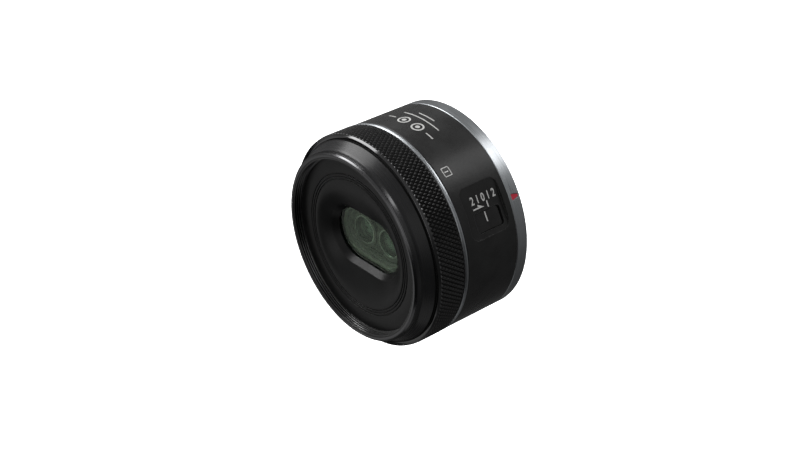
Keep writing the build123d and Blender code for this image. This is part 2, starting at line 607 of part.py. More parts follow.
# ---------------------------------------------------------------- fasteners inside
with BuildPart() as plate_screw:
    with BuildSketch(Plane.XY):
        Circle(PLATE_HEAD_R)
    extrude(amount=0.6)
    with BuildSketch(Plane.XY):
        Circle(PLATE_SCREW_R)
    extrude(amount=-3.0)
    with BuildSketch(Plane.XY.offset(0.3)):
        Rectangle(0.9, 0.2)
        Rectangle(0.2, 0.9)
    extrude(amount=1, mode=Mode.SUBTRACT)

SCREW_SEATS = [
    Plane(origin=(x, -seat, z), x_dir=(1, 0, 0), z_dir=(0, -1, 0))
    for seat, spots in (
        (CELL_FLANGE_FRONT, CELL_SCREWS),
        (IRIS_FLOOR, IRIS_SCREWS),
        (REAR_FLANGE_FRONT, REAR_SCREWS),
    )
    for x, z in spots
]

with BuildPart() as plate_screws:
    with Locations(*SCREW_SEATS):
        add(plate_screw.part)
finish_part(plate_screws, "plate_screws")

# ---------------------------------------------------------------- electronics
CONTACTS = 12
CONTACT_ANGLES = [270 + 4.3 * (index - (CONTACTS - 1) / 2) for index in range(CONTACTS)]

with BuildPart() as main_board:
    discs(6.6, 7.4, 27.2)
    discs(6.6, 7.4, 21.8, mode=Mode.SUBTRACT)
    for angle in (60, 95, 130, 160, 300, 335):
        arc_blocks(7.4, 8.4, 23.0, 25.6, (angle,), 9)  # chips
finish_part(main_board, "main_board")

with BuildPart() as contact_block:
    arc_blocks(-4.2, -1.4, 20.5, 23.5, (270,), 55)
    blocks(-1.4, 3.9, 9.0, 1.6, [(0, -21.2)])
finish_part(contact_block, "contact_block")

with BuildPart() as contact_pins:
    pin_spots = [polar(21.9, angle) for angle in CONTACT_ANGLES]
    discs(-4.7, -4.2, 0.5, pin_spots)
finish_part(contact_pins, "contact_pins")

CABLE_IN, CABLE_OUT = 28.92, 29.06

with BuildPart() as flex_cable:
    arc_blocks(7.45, 31.8, CABLE_IN, CABLE_OUT, (CABLE_ANGLE,), 8)
    arc_blocks(31.68, 31.8, CABLE_OUT, 31.05, (CABLE_ANGLE,), 8)
    arc_blocks(7.45, 7.57, 26.4, CABLE_IN, (CABLE_ANGLE,), 8)
finish_part(flex_cable, "flex_cable")

with BuildPart() as ring_sensor:
    arc_blocks(SENSOR_REAR, SENSOR_FRONT, 31.05, 32.6, (CABLE_ANGLE,), 11)
finish_part(ring_sensor, "ring_sensor")
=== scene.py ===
"""Looks of the twin-optic prime lens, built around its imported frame.

Metres, in the frame of the CAD model: -Y is the front, +Z is the top, +X is the side with the switch.
Outlines of turned pieces are written as (radius, station) in millimetres, where a station is a distance
in front of the mount's flange plane, so that a point at station s lies at y = -s.
"""

import json
import math
import bpy
import bmesh
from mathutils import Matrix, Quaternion, Vector


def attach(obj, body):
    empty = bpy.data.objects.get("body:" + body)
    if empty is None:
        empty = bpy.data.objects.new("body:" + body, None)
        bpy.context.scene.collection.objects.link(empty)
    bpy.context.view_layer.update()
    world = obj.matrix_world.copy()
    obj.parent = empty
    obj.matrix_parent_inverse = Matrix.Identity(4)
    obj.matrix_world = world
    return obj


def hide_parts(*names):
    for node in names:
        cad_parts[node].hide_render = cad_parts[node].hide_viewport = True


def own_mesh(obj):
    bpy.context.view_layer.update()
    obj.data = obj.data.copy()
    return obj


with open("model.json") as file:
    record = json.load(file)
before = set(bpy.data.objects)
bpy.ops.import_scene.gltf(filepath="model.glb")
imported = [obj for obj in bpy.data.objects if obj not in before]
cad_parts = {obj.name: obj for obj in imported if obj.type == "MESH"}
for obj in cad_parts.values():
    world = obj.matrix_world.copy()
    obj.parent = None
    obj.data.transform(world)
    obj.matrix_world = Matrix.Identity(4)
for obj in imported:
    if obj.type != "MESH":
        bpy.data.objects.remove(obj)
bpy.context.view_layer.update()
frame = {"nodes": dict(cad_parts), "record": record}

MM = 0.001
TAU = 2 * math.pi

# ================================================================ sizes of the lens, in mm
AXIS_X = 5.9  # from the lens axis to each optical axis
BARREL_R = 34.45
FLAT_HEIGHT = 33.4  # the switch's flat, from the lens axis
SWITCH_ANGLE = math.radians(28.0)

KNURL_COUNT = 143  # diamonds round the focus ring
KNURL_PITCH = 2.13  # from one diamond to the next along the axis
KNURL_DEPTH = 0.56
KNURL_FLAT = 0.8  # share of a full pyramid's height at which its top is cut flat
KNURL_CREST = 34.6
KNURL_REAR, KNURL_FRONT = 26.05, 34.86
BEVEL_REAR, BEVEL_FRONT = (34.6, 34.35), (34.2, 35.8)  # (radius, station) of the focus ring bevel's ends

THREAD_PITCH = 0.75
THREAD_CREST, THREAD_ROOT = 28.6, 29.02
THREAD_REAR, THREAD_FRONT = 38.55, 41.12

PLATE_FRONT = 38.4
PLATE_BACK = 32.2
GROOVES = (21.4, 22.2, 23.1)  # radii of the plate's three grooves
GROOVE_DEPTH = 0.3
DISH_R = 20.8
WINDOW_TOP, WINDOW_EDGE = 36.04, 34.35  # stations of the window bevel's two edges
WINDOW_SEAT = 34.12
BEVEL_OUTER, BEVEL_INNER, GLASS_R = 10.14, 8.46, 9.35  # round ends of the window's bevel and of its glass

SLIDER_WINDOW_LOW, SLIDER_WINDOW_HIGH = -6.48, -0.39  # across the flat
SLIDER_WINDOW_REAR, SLIDER_WINDOW_FRONT = 7.95, 18.15

# Where a finish or a painted shade changes: the radii or stations at which the change starts and ends.
KNURL_GROOVE_SHADE = (34.0, 34.34)
BEVEL_GLOSS = (34.45, 34.75)
FOOT_END = (35.85, 36.0)
NECK_START = (39.5, 39.8)
RIM_START = (40.8, 40.88)
BORE_END = (29.12, 29.2)
THREAD_POLISH_AND_SHADE = (28.66, 28.76)
LEDGE_START = (30.9, 31.9)


# ================================================================ mesh helpers
def make_object(name, vertices, faces, sharp_angle=30.0):
    """A mesh object from points in metres, shaded smooth but for edges sharper than sharp_angle degrees."""
    mesh = bpy.data.meshes.new(name)
    mesh.from_pydata(vertices, [], faces)
    mesh.update()
    bm = bmesh.new()
    bm.from_mesh(mesh)
    bmesh.ops.recalc_face_normals(bm, faces=bm.faces)
    bm.to_mesh(mesh)
    bm.free()
    mesh.shade_smooth()
    mesh.set_sharp_from_angle(angle=math.radians(sharp_angle))
    piece = bpy.data.objects.new(name, mesh)
    bpy.context.scene.collection.objects.link(piece)
    return piece


def on_ring(radius, station, angle):
    """The point at a radius and a station (mm) and an angle (radians) from +X towards +Z, in metres."""
    return (radius * math.cos(angle) * MM, -station * MM, radius * math.sin(angle) * MM)


def rounded_outline(corners, steps=4):
    """A closed outline from (radius, station, rounding) corners, each corner an arc of that size."""
    outline = []
    count = len(corners)
    for i, (x, y, size) in enumerate(corners):
        before = Vector(corners[i - 1][:2])
        here = Vector((x, y))
        after = Vector(corners[(i + 1) % count][:2])
        to_before = before - here
        to_after = after - here
        reach = min(size, 0.45 * to_before.length, 0.45 * to_after.length)
        if reach < 1e-4:
            outline.append((x, y))
            continue
        start = here + to_before.normalized() * reach
        end = here + to_after.normalized() * reach
        for k in range(steps + 1):
            t = k / steps
            point = start * (1 - t) ** 2 + here * 2 * t * (1 - t) + end * t**2
            outline.append((point.x, point.y))
    return outline


def closed_rows(rows_at, segments):
    """Vertices and faces of a closed ring: rows_at(angle) gives its outline there, always as many points."""
    vertices = []
    for j in range(segments):
        angle = TAU * j / segments
        vertices += [on_ring(r, s, angle) for r, s in rows_at(angle)]
    count = len(vertices) // segments
    faces = []
    for j in range(segments):
        a = j * count
        b = ((j + 1) % segments) * count
        for i in range(count):
            k = (i + 1) % count
            faces.append((a + i, a + k, b + k, b + i))
    return vertices, faces


def turned_piece(name, corners, segments, steps=4, sharp_angle=30.0, middle=0.0):
    """A turned ring with rounded corners, whose axis may be moved along X to middle (mm)."""
    outline = rounded_outline(corners, steps)
    vertices, faces = closed_rows(lambda angle: outline, segments)
    return make_object(name, [(x + middle * MM, y, z) for x, y, z in vertices], faces, sharp_angle)


# ================================================================ material helpers
class Shader:
    """A node material with one Principled shader, and short ways to add what feeds it."""

    def __init__(self, name):
        self.material = bpy.data.materials.new(name)
        self.material.use_nodes = True
        self.nodes = self.material.node_tree.nodes
        self.links = self.material.node_tree.links
        self.main = self.nodes["Principled BSDF"]
        self.place = self.nodes.new("ShaderNodeTexCoord").outputs["Object"]

    def set(self, **values):
        """Set sockets of the Principled shader to constants."""
        for socket, value in values.items():
            self.main.inputs[socket.replace("_", " ")].default_value = value

    def link(self, output, socket):
        """Feed a socket of the Principled shader."""
        self.links.new(output, self.main.inputs[socket])

    def stretched(self, scale):
        """The object's own coordinates, scaled along each axis."""
        node = self.nodes.new("ShaderNodeMapping")
        node.inputs["Scale"].default_value = scale
        self.links.new(self.place, node.inputs["Vector"])
        return node.outputs["Vector"]

    def round_place(self):
        """Station (mm), radius (mm) and angle (radians) about the lens axis."""
        parts = self.nodes.new("ShaderNodeSeparateXYZ")
        self.links.new(self.place, parts.inputs[0])
        squares = [self.math("MULTIPLY", parts.outputs[axis], parts.outputs[axis]) for axis in ("X", "Z")]
        radius = self.math("SQRT", self.math("ADD", *squares))
        turn = self.math("ARCTAN2", parts.outputs["Z"], parts.outputs["X"])
        return (
            self.math("MULTIPLY", parts.outputs["Y"], -1 / MM),
            self.math("MULTIPLY", radius, 1 / MM),
            turn,
        )

    def around_axis(self, line_mm, round_scale):
        """Coordinates whose lines run round the barrel: (station, radius, a little of the angle)."""
        per_mm = 1 / line_mm
        station, radius, turn = self.round_place()
        joined = self.nodes.new("ShaderNodeCombineXYZ")
        for value, scale, socket in ((station, per_mm, "X"), (radius, per_mm, "Y"), (turn, round_scale, "Z")):
            self.links.new(self.math("MULTIPLY", value, scale), joined.inputs[socket])
        return joined.outputs[0]

    def math(self, kind, first, second=None, clamp=False):
        """One step of arithmetic on outputs and constants."""
        node = self.nodes.new("ShaderNodeMath")
        node.operation = kind
        node.use_clamp = clamp
        for socket, value in zip(node.inputs, (first, second)):
            if value is None:
                continue
            if isinstance(value, (int, float)):
                socket.default_value = value
            else:
                self.links.new(value, socket)
        return node.outputs[0]

    def between(self, factor, first, second):
        """A value between two constants: the first at factor 0, the second at factor 1."""
        return self.math("ADD", self.math("MULTIPLY", factor, second - first), first)

    def noise(self, scale, detail=3.0, roughness=0.5, vector=None):
        """Soft noise in the object's own coordinates, or in those of vector."""
        node = self.nodes.new("ShaderNodeTexNoise")
        node.inputs["Scale"].default_value = scale
        node.inputs["Detail"].default_value = detail
        node.inputs["Roughness"].default_value = roughness
        self.links.new(vector or self.place, node.inputs["Vector"])
        return node.outputs["Fac"]

    def grain(self, size_mm):
        """The fine grain of a surface."""
        return self.noise(1 / (size_mm * MM), detail=2.0)

    def mottle(self):
        """Broad, faint unevenness, as from handling."""
        return self.noise(140.0, detail=4.0)

    def ramp(self, value, low, high, at_low=0.0, at_high=1.0):
        """A value mapped from the range at_low..at_high to low..high."""
        node = self.nodes.new("ShaderNodeMapRange")
        self.links.new(value, node.inputs["Value"])
        node.inputs["From Min"].default_value = at_low
        node.inputs["From Max"].default_value = at_high
        node.inputs["To Min"].default_value = low
        node.inputs["To Max"].default_value = high
        return node.outputs["Result"]

    def mix(self, factor, first, second):
        """A colour between two, each a constant or another output."""
        node = self.nodes.new("ShaderNodeMix")
        node.data_type = "RGBA"
        self.links.new(factor, node.inputs["Factor"])
        for socket, value in (("A", first), ("B", second)):
            target = [s for s in node.inputs if s.name == socket and s.type == "RGBA"][0]
            if isinstance(value, tuple):
                target.default_value = (*value, 1.0)
            else:
                self.links.new(value, target)
        return [s for s in node.outputs if s.type == "RGBA"][0]

    def tone(self, pattern, dark, light, start=0.35, end=0.65):
        """A colour that follows a noise pattern from dark to light."""
        return self.mix(self.ramp(pattern, 0.0, 1.0, start, end), dark, light)

    def rounded_normal(self, radius_mm):
        """The surface normal as if edges were rounded by radius_mm."""
        bevel = self.nodes.new("ShaderNodeBevel")
        bevel.samples = 4
        bevel.inputs["Radius"].default_value = radius_mm * MM
        return bevel.outputs[0]

    def worn_edges(self, radius_mm=0.12, gain=4.0):
        """A mask of outer edges, from how far a rounded normal leans away from the true one."""
        true = self.nodes.new("ShaderNodeNewGeometry")
        dot = self.nodes.new("ShaderNodeVectorMath")
        dot.operation = "DOT_PRODUCT"
        self.links.new(self.rounded_normal(radius_mm), dot.inputs[0])
        self.links.new(true.outputs["Normal"], dot.inputs[1])
        lean = self.math("SUBTRACT", 1.0, dot.outputs["Value"])
        return self.math("MULTIPLY", lean, gain, clamp=True)

    def bump(self, height, strength, distance_mm, soften_mm=0.0):
        """Surface relief from a height, over a normal whose edges are softened by soften_mm."""
        node = self.nodes.new("ShaderNodeBump")
        node.inputs["Strength"].default_value = strength
        node.inputs["Distance"].default_value = distance_mm * MM
        self.links.new(height, node.inputs["Height"])
        if soften_mm > 0:
            self.links.new(self.rounded_normal(soften_mm), node.inputs["Normal"])
        self.link(node.outputs[0], "Normal")


def scaled(shade, factor):
    """A colour made lighter or darker."""
    return tuple(min(1.0, c * factor) for c in shade)


# Near black for painted shade in the knurl's grooves, the thread roots and the foot of the front cone.
PAINTED_SHADE = (0.001, 0.001, 0.001)


def satin_black(name, shade, roughness, grain_mm=0.12, relief=0.25, level=0.35, worn=0.05, soften_mm=0.08):
    """Moulded or painted black with a fine grain, faint mottling and edges worn a little lighter."""
    s = Shader(name)
    grain = s.grain(grain_mm)
    mottle = s.mottle()
    base = s.tone(mottle, scaled(shade, 0.85), scaled(shade, 1.15))
    if worn > 0:
        base = s.mix(s.worn_edges(), base, tuple(c + worn for c in shade))
    s.link(base, "Base Color")
    s.link(s.ramp(s.math("ADD", grain, mottle), roughness - 0.05, roughness + 0.05, 0.7, 1.3), "Roughness")
    s.bump(grain, relief, 0.02, soften_mm)
    s.set(Specular_IOR_Level=level)
    return s.material


def knurled_black(name):
    """Black of the focus ring: dull, and darkened by painted shade, in the grooves of the knurl, glossy on
    the front bevel.
    """
    s = Shader(name)
    grain = s.grain(0.06)
    mottle = s.mottle()
    station, radius, _ = s.round_place()
    crest = s.ramp(radius, 0.0, 1.0, *KNURL_GROOVE_SHADE)
    bevel = s.ramp(station, 0.0, 1.0, *BEVEL_GLOSS)
    worn = s.tone(mottle, (0.014, 0.014, 0.0142), (0.019, 0.019, 0.0192))
    # Painted shade: the knurl's grooves go near black, the crests keep the mottled black.
    knurl = s.mix(crest, PAINTED_SHADE, worn)
    s.link(s.mix(bevel, knurl, (0.075, 0.075, 0.076)), "Base Color")
    s.link(bevel, "Metallic")
    dull = s.math("MULTIPLY", s.between(crest, 0.7, 0.36), s.between(bevel, 1.0, 0.0))
    rough = s.math("ADD", dull, s.between(bevel, 0.0, 0.14))
    s.link(s.math("ADD", rough, s.ramp(mottle, -0.03, 0.03, 0.35, 0.65)), "Roughness")
    s.bump(grain, 0.06, 0.02, 0.05)
    s.set(Specular_IOR_Level=0.16)
    return s.material


def front_ring_black(name):
    """Anodised black of the front ring: satin on the cone, polished on the neck, rim and thread crests, with
    painted shade on the cone's foot and in the thread roots.
    """
    s = Shader(name)
    grain = s.grain(0.08)
    mottle = s.mottle()
    lines = s.noise(1.0, detail=3.0, vector=s.around_axis(0.07, 2.0))
    station, radius, _ = s.round_place()
    foot = s.ramp(station, 1.0, 0.0, *FOOT_END)
    neck = s.ramp(station, 0.0, 1.0, *NECK_START)
    rim = s.ramp(station, 0.0, 1.0, *RIM_START)
    bore = s.ramp(radius, 1.0, 0.0, *BORE_END)
    crest = s.ramp(radius, 1.0, 0.0, *THREAD_POLISH_AND_SHADE)
    base = s.tone(mottle, (0.011, 0.011, 0.0115), (0.015, 0.015, 0.0155))
    # Painted shade: the cone's foot, next to the focus ring, is near black and rougher.
    cone = s.mix(foot, s.mix(s.worn_edges(), base, (0.04, 0.04, 0.042)), PAINTED_SHADE)
    outside = s.mix(rim, s.mix(neck, cone, (0.05, 0.05, 0.051)), (0.08, 0.08, 0.082))
    # Painted shade: the thread roots are near black; the crests are polished.
    thread = s.mix(crest, PAINTED_SHADE, (0.09, 0.09, 0.09))
    s.link(s.mix(bore, outside, thread), "Base Color")
    polished_outside = s.math("MULTIPLY", neck, s.between(bore, 1.0, 0.0))
    polished_thread = s.math("MULTIPLY", crest, bore)
    s.link(s.math("ADD", polished_outside, polished_thread), "Metallic")
    rough = s.math("ADD", s.between(neck, 0.27, 0.2), s.between(foot, 0.0, 0.4))
    s.link(s.math("ADD", rough, s.ramp(lines, -0.05, 0.05, 0.3, 0.7)), "Roughness")
    s.bump(s.math("ADD", grain, lines), 0.08, 0.01, 0.05)
    s.set(Specular_IOR_Level=0.22)
    return s.material


def turned_metal(name, shade, roughness, line_mm=0.05, anisotropy=0.6, relief=0.12, contrast=0.12):
    """Satin metal finished in a lathe: fine lines round the barrel, and a highlight drawn out across them."""
    s = Shader(name)
    lines = s.noise(1.0, detail=3.0, roughness=0.6, vector=s.around_axis(line_mm, 3.0))
    cloud = s.noise(90.0, detail=3.0)
    dark = scaled(shade, 1 - contrast)
    light = scaled(shade, 1 + contrast)
    s.link(s.tone(lines, dark, light, 0.3, 0.7), "Base Color")
    s.link(s.ramp(s.math("ADD", lines, cloud), roughness - 0.06, roughness + 0.08, 0.6, 1.4), "Roughness")
    s.bump(lines, relief, 0.01, 0.08)
    tangent = s.nodes.new("ShaderNodeTangent")
    tangent.direction_type = "RADIAL"
    tangent.axis = "Y"
    s.link(tangent.outputs[0], "Tangent")
    s.set(Metallic=1.0, Anisotropic=anisotropy)
    return s.material


def light_trap_black(name):
    """Matt plastic behind the window, greyer on the ledge under the glass."""
    s = Shader(name)
    grain = s.grain(0.2)
    station, _, _ = s.round_place()
    ledge = s.ramp(station, 0.0, 1.0, *LEDGE_START)
    s.link(s.mix(ledge, (0.036, 0.036, 0.034), (0.095, 0.097, 0.092)), "Base Color")
    s.link(s.ramp(grain, 0.48, 0.56, 0.35, 0.65), "Roughness")
    s.bump(grain, 0.04, 0.02)
    s.set(Specular_IOR_Level=0.2)
    return s.material


def plain_metal(name, shade, roughness, scratch_scale=9000.0):
    """Bright metal of small parts, with fine scratches along the lens axis and handling marks."""
    s = Shader(name)
    along = scratch_scale * 0.05
    scratch = s.noise(1.0, detail=4.0, vector=s.stretched((scratch_scale, along, scratch_scale)))
    s.link(s.tone(scratch, scaled(shade, 0.8), shade, 0.3, 0.7), "Base Color")
    s.link(s.ramp(scratch, roughness - 0.05, roughness + 0.1, 0.3, 0.7), "Roughness")
    s.bump(scratch, 0.1, 0.01, 0.04)
    s.set(Metallic=1.0)
    return s.material


def printed_ink(name, shade):
    """Filled print: slightly uneven in tone, with a soft surface."""
    s = Shader(name)
    speckle = s.noise(6000.0, detail=2.0)
    s.link(s.tone(speckle, scaled(shade, 0.86), shade), "Base Color")
    s.link(s.ramp(speckle, 0.45, 0.6, 0.3, 0.7), "Roughness")
    s.bump(speckle, 0.15, 0.01)
    return s.material


def coated_glass(name, tint, coating, index):
    """Clear glass with the coloured reflection of its coating, and the faintest smears.

    The index is below that of real glass, because a coating takes most of the reflection away.
    """
    s = Shader(name)
    smear = s.noise(260.0, detail=4.0)
    s.link(s.mix(smear, tint, scaled(tint, 1.05)), "Base Color")
    s.link(s.ramp(smear, 0.01, 0.03, 0.4, 0.7), "Roughness")
    s.set(Transmission_Weight=1.0, IOR=index, Specular_Tint=(*coating, 1.0), Specular_IOR_Level=0.5)
    return s.material


# ================================================================ materials
# One for each slot of the record, then print_painted_shade, light_trap and retainer_metal for single pieces.
MATERIALS = {
    "mount_steel": turned_metal("mount_steel", (0.62, 0.62, 0.60), 0.22),
    "silver_trim": turned_metal(
        "silver_trim", (0.265, 0.277, 0.288), 0.3, line_mm=0.14, anisotropy=0.3, relief=0.5, contrast=0.35
    ),
    "white_print": printed_ink("white_print", (0.62, 0.62, 0.61)),
    "red_mark": printed_ink("red_mark", (0.60, 0.02, 0.05)),
    "barrel_black": satin_black("barrel_black", (0.019, 0.019, 0.019), 0.28, level=0.12, soften_mm=0.2),
    "ring_black": knurled_black("ring_black"),
    "front_black": front_ring_black("front_black"),
    "plate_black": satin_black(
        "plate_black", (0.006, 0.006, 0.006), 0.36, grain_mm=0.1, level=0.14, worn=0.05
    ),
    "chassis_plastic": satin_black(
        "chassis_plastic", (0.045, 0.045, 0.043), 0.5, relief=0.05, level=0.2, worn=0, soften_mm=0
    ),
    "window_glass": coated_glass("window_glass", (0.80, 0.93, 0.78), (0.62, 1.0, 0.58), 1.2),
    "lens_glass": coated_glass("lens_glass", (0.82, 0.93, 0.88), (0.75, 1.0, 0.88), 1.24),
    "screw_steel": plain_metal("screw_steel", (0.55, 0.55, 0.56), 0.3),
    "blade_black": satin_black("blade_black", (0.006, 0.006, 0.007), 0.4),
    "washer_plastic": satin_black("washer_plastic", (0.01, 0.01, 0.01), 0.4),
    "board_green": satin_black("board_green", (0.02, 0.10, 0.05), 0.35),
    "flex_amber": satin_black("flex_amber", (0.35, 0.15, 0.03), 0.35),
    "contact_gold": plain_metal("contact_gold", (0.85, 0.62, 0.28), 0.2),
    "motor_metal": plain_metal("motor_metal", (0.5, 0.5, 0.5), 0.35),
    "coil_copper": plain_metal("coil_copper", (0.6, 0.28, 0.12), 0.35),
    "comb_metal": plain_metal("comb_metal", (0.5, 0.5, 0.5), 0.35),
    # A copy of white_print darkened with painted shade, for the sign on top of the barrel.
    "print_painted_shade": printed_ink("print_painted_shade", (0.4, 0.4, 0.39)),
    "light_trap": light_trap_black("light_trap"),
    "retainer_metal": plain_metal("retainer_metal", (0.2, 0.205, 0.2), 0.3, 3000.0),
}


OWN_FINISH = {"front_retainers": "retainer_metal"}  # CAD nodes that don't wear their slot's material


def dress(piece, material):
    """Give a piece one material, in place of all that its mesh has."""
    piece.data.materials.clear()
    piece.data.materials.append(MATERIALS[material])


for row in frame["record"]["subparts"]:
    dress(frame["nodes"][row["node"]], OWN_FINISH.get(row["node"], row["material_slot"]))


def add_piece(piece, body, slot, replaced=None, material=None):
    """Dress a piece, let it ride on a body, and hide the CAD node it stands for, if any.

    It wears its slot's material, unless another one is named.
    """
    dress(piece, material or slot)
    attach(piece, body)
    if replaced:
        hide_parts(replaced)
    return piece


# ================================================================ focus ring with its diamond knurl
SAMPLES = 8  # mesh steps for one diamond, both ways


def knurl_radius(step_round, step_along, station):
    """Radius of the knurl at a mesh step: pyramids with a small flat, cut by the front bevel."""
    across = abs((step_round / SAMPLES + 0.5) % 1 - 0.5)
    along = abs((step_along / SAMPLES + 0.5) % 1 - 0.5)
    if across + along > 0.5:
        across = 0.5 - across
        along = 0.5 - along
    height = min(1 - 2 * (across + along), KNURL_FLAT) / KNURL_FLAT
    crest = KNURL_CREST - KNURL_DEPTH * (1 - height)
    slope = (BEVEL_FRONT[0] - BEVEL_REAR[0]) / (BEVEL_FRONT[1] - BEVEL_REAR[1])
    bevel = BEVEL_REAR[0] + slope * (station - BEVEL_REAR[1])
    return min(crest, bevel)


def focus_ring_rows():
    """The outline from the rear, over knurl and bevel, to the bore, as (radius, station, knurl step)."""
    rows = [(32.97, 25.85, None), (34.0, 25.85, None), (34.08, 25.9, None), (34.1, KNURL_REAR - 0.02, None)]
    pitch_step = KNURL_PITCH / SAMPLES
    count = int((KNURL_FRONT - KNURL_REAR) / pitch_step)
    rows += [(None, KNURL_REAR + i * pitch_step, i) for i in range(count + 1)]
    rows += [(34.43, 34.95, None), (34.24, 35.65, None), (34.19, 35.76, None)]
    rows += [(34.13, 35.8, None), (34.0, 35.8, None), (33.95, 35.76, None), (33.95, 35.34, None)]
    rows += [(33.92, 35.3, None), (33.68, 35.3, None), (33.65, 35.27, None), (33.65, 34.92, None)]
    rows += [(32.97, 34.92, None)]
    return rows


def build_focus_ring():
    """The ring with its pyramids, which meet in sharp creases."""
    rows = focus_ring_rows()
    segments = KNURL_COUNT * SAMPLES
    radii = [
        [knurl_radius(j, step, station) if radius is None else radius for radius, station, step in rows]
        for j in range(segments)
    ]
    count = len(rows)
    vertices = [
        on_ring(radii[j][i], rows[i][1], TAU * j / segments) for j in range(segments) for i in range(count)
    ]
    faces = []
    for j in range(segments):
        here, there = radii[j], radii[(j + 1) % segments]
        a = j * count
        b = ((j + 1) % segments) * count
        for i in range(count):
            k = (i + 1) % count
            if rows[i][2] is None or rows[k][2] is None:
                faces.append((a + i, a + k, b + k, b + i))
                continue
            # each cell is split along the diagonal that is level, and along the lower one in a groove
            rising = (round(abs(here[i] - there[k]), 5), here[i] + there[k])
            falling = (round(abs(here[k] - there[i]), 5), here[k] + there[i])
            if rising < falling:
                faces += [(a + i, a + k, b + k), (a + i, b + k, b + i)]
            else:
                faces += [(a + i, a + k, b + i), (a + k, b + k, b + i)]
    return make_object("knurled_focus_ring", vertices, faces, 12.0)


add_piece(build_focus_ring(), "focus_ring", "ring_black", "focus_ring")

# ================================================================ front ring with its filter thread
THREAD_ROWS = 42  # mesh rows along the thread
THREAD_FADE = 0.2  # the thread dies out over this length at both ends, mm
# From the bore behind, round the foot, up the cone and the neck, over the rim bead to the thread.
FRONT_RING_CORNERS = [
    (29.6, 33.6, 0), (31.1, 33.6, 0), (31.1, 35.0, 0), (33.1, 35.0, 0.05), (33.1, 35.28, 0.05),
    (32.86, 35.34, 0.04), (32.86, 35.96, 0.06), (30.66, 39.0, 0.7), (30.66, 40.72, 0.06),
    (30.42, 40.78, 0.05), (30.42, 40.84, 0.03), (30.45, 40.87, 0.02), (30.45, 40.93, 0.04),
    (29.98, 41.4, 0.16), (29.7, 41.4, 0.06), (29.66, 41.35, 0.04), (29.3, 41.35, 0.1), (29.1, 41.28, 0.05),
]
FRONT_RING_INSIDE = [(28.2, 38.42), (28.2, 36.8), (26.5, 36.8), (26.5, 35.6), (29.6, 35.6)]


def thread_radius(station, angle):
    """Radius of the helical thread: a flat crest, a sloped flank, a narrow root."""
    phase = (station / THREAD_PITCH + angle / TAU) % 1
    depth = min(max(2.6 * (0.5 - abs(phase - 0.5)) - 0.2, 0.0), 1.0)
    fade = min(1.0, (THREAD_FRONT - station) / THREAD_FADE, (station - THREAD_REAR) / THREAD_FADE)
    return THREAD_CREST + (THREAD_ROOT - THREAD_CREST) * depth * max(fade, 0.0)


def build_front_ring():
    """The turned ring, with its filter thread cut into the bore."""
    outside = rounded_outline(FRONT_RING_CORNERS)
    step = (THREAD_FRONT - THREAD_REAR) / THREAD_ROWS
    stations = [THREAD_FRONT - i * step for i in range(THREAD_ROWS + 1)]

    def rows_at(angle):
        return outside + [(thread_radius(s, angle), s) for s in stations] + FRONT_RING_INSIDE

    vertices, faces = closed_rows(rows_at, 720)
    return make_object("threaded_front_ring", vertices, faces, 35.0)


add_piece(build_front_ring(), "barrel", "front_black", "front_ring")

# ================================================================ trim ring
# A fine groove behind the front chamfer splits the ring into two bright lines.
TRIM_CORNERS = [
    (32.95, 24.2, 0), (34.3, 24.2, 0.04), (34.5, 24.4, 0.08), (34.5, 24.92, 0.03),
    (34.38, 24.97, 0.03), (34.38, 25.07, 0.03), (34.5, 25.12, 0.03), (34.5, 25.24, 0.06),
    (34.26, 25.5, 0.05), (32.95, 25.5, 0),
]
add_piece(turned_piece("grooved_trim_ring", TRIM_CORNERS, 360), "barrel", "silver_trim", "trim_ring")

# ================================================================ front plate, dished down to its window
DISH_STEPS = 16  # mesh rows down the dish


def stadium_reach(radius, angle):
    """Distance from the centre to the edge of a slot with round ends on the two optical axes."""
    c = abs(math.cos(angle))
    s = abs(math.sin(angle))
    if s * AXIS_X < radius * c:
        return AXIS_X * c + math.sqrt(radius**2 - (AXIS_X * s) ** 2)
    return radius / s


def plate_front_outline():
    """The plate's back edge, rim and flat front with its three grooves, down to the start of the dish."""
    outline = [(25.5, 36.8), (28.12, 36.8), (28.15, 36.83), (28.15, 38.34), (28.09, PLATE_FRONT)]
    outline.append((26.0, PLATE_FRONT))
    half_groove = [(0.3, 0.0), (0.2, 0.03), (0.1, GROOVE_DEPTH)]  # (from the groove's middle, depth)
    for groove in reversed(GROOVES):
        outline += [(groove + out, PLATE_FRONT - depth) for out, depth in half_groove]
        outline += [(groove - out, PLATE_FRONT - depth) for out, depth in reversed(half_groove)]
    return outline


def build_front_plate():
    """The plate: its front sinks from a round edge in a smooth dish to the bevel of the oval window."""
    front = plate_front_outline()

    def rows_at(angle):
        top = stadium_reach(BEVEL_OUTER, angle)
        edge = stadium_reach(BEVEL_INNER, angle)
        seat = stadium_reach(GLASS_R, angle)
        rows = list(front)
        for k in range(DISH_STEPS + 1):
            t = k / DISH_STEPS
            drop = (PLATE_FRONT - WINDOW_TOP) * (1.7 * t**2 - 0.7 * t**3)
            rows.append((DISH_R + (top - 0.12 - DISH_R) * t, PLATE_FRONT - drop))
        rows += [(top - 0.25, WINDOW_TOP - 0.16), (edge + 0.08, WINDOW_EDGE + 0.1), (edge, WINDOW_EDGE)]
        rows += [(edge, WINDOW_SEAT), (seat, WINDOW_SEAT), (seat, PLATE_BACK), (25.5, PLATE_BACK)]
        return rows

    vertices, faces = closed_rows(rows_at, 360)
    return make_object("dished_front_plate", vertices, faces)


add_piece(build_front_plate(), "barrel", "plate_black", "front_plate")

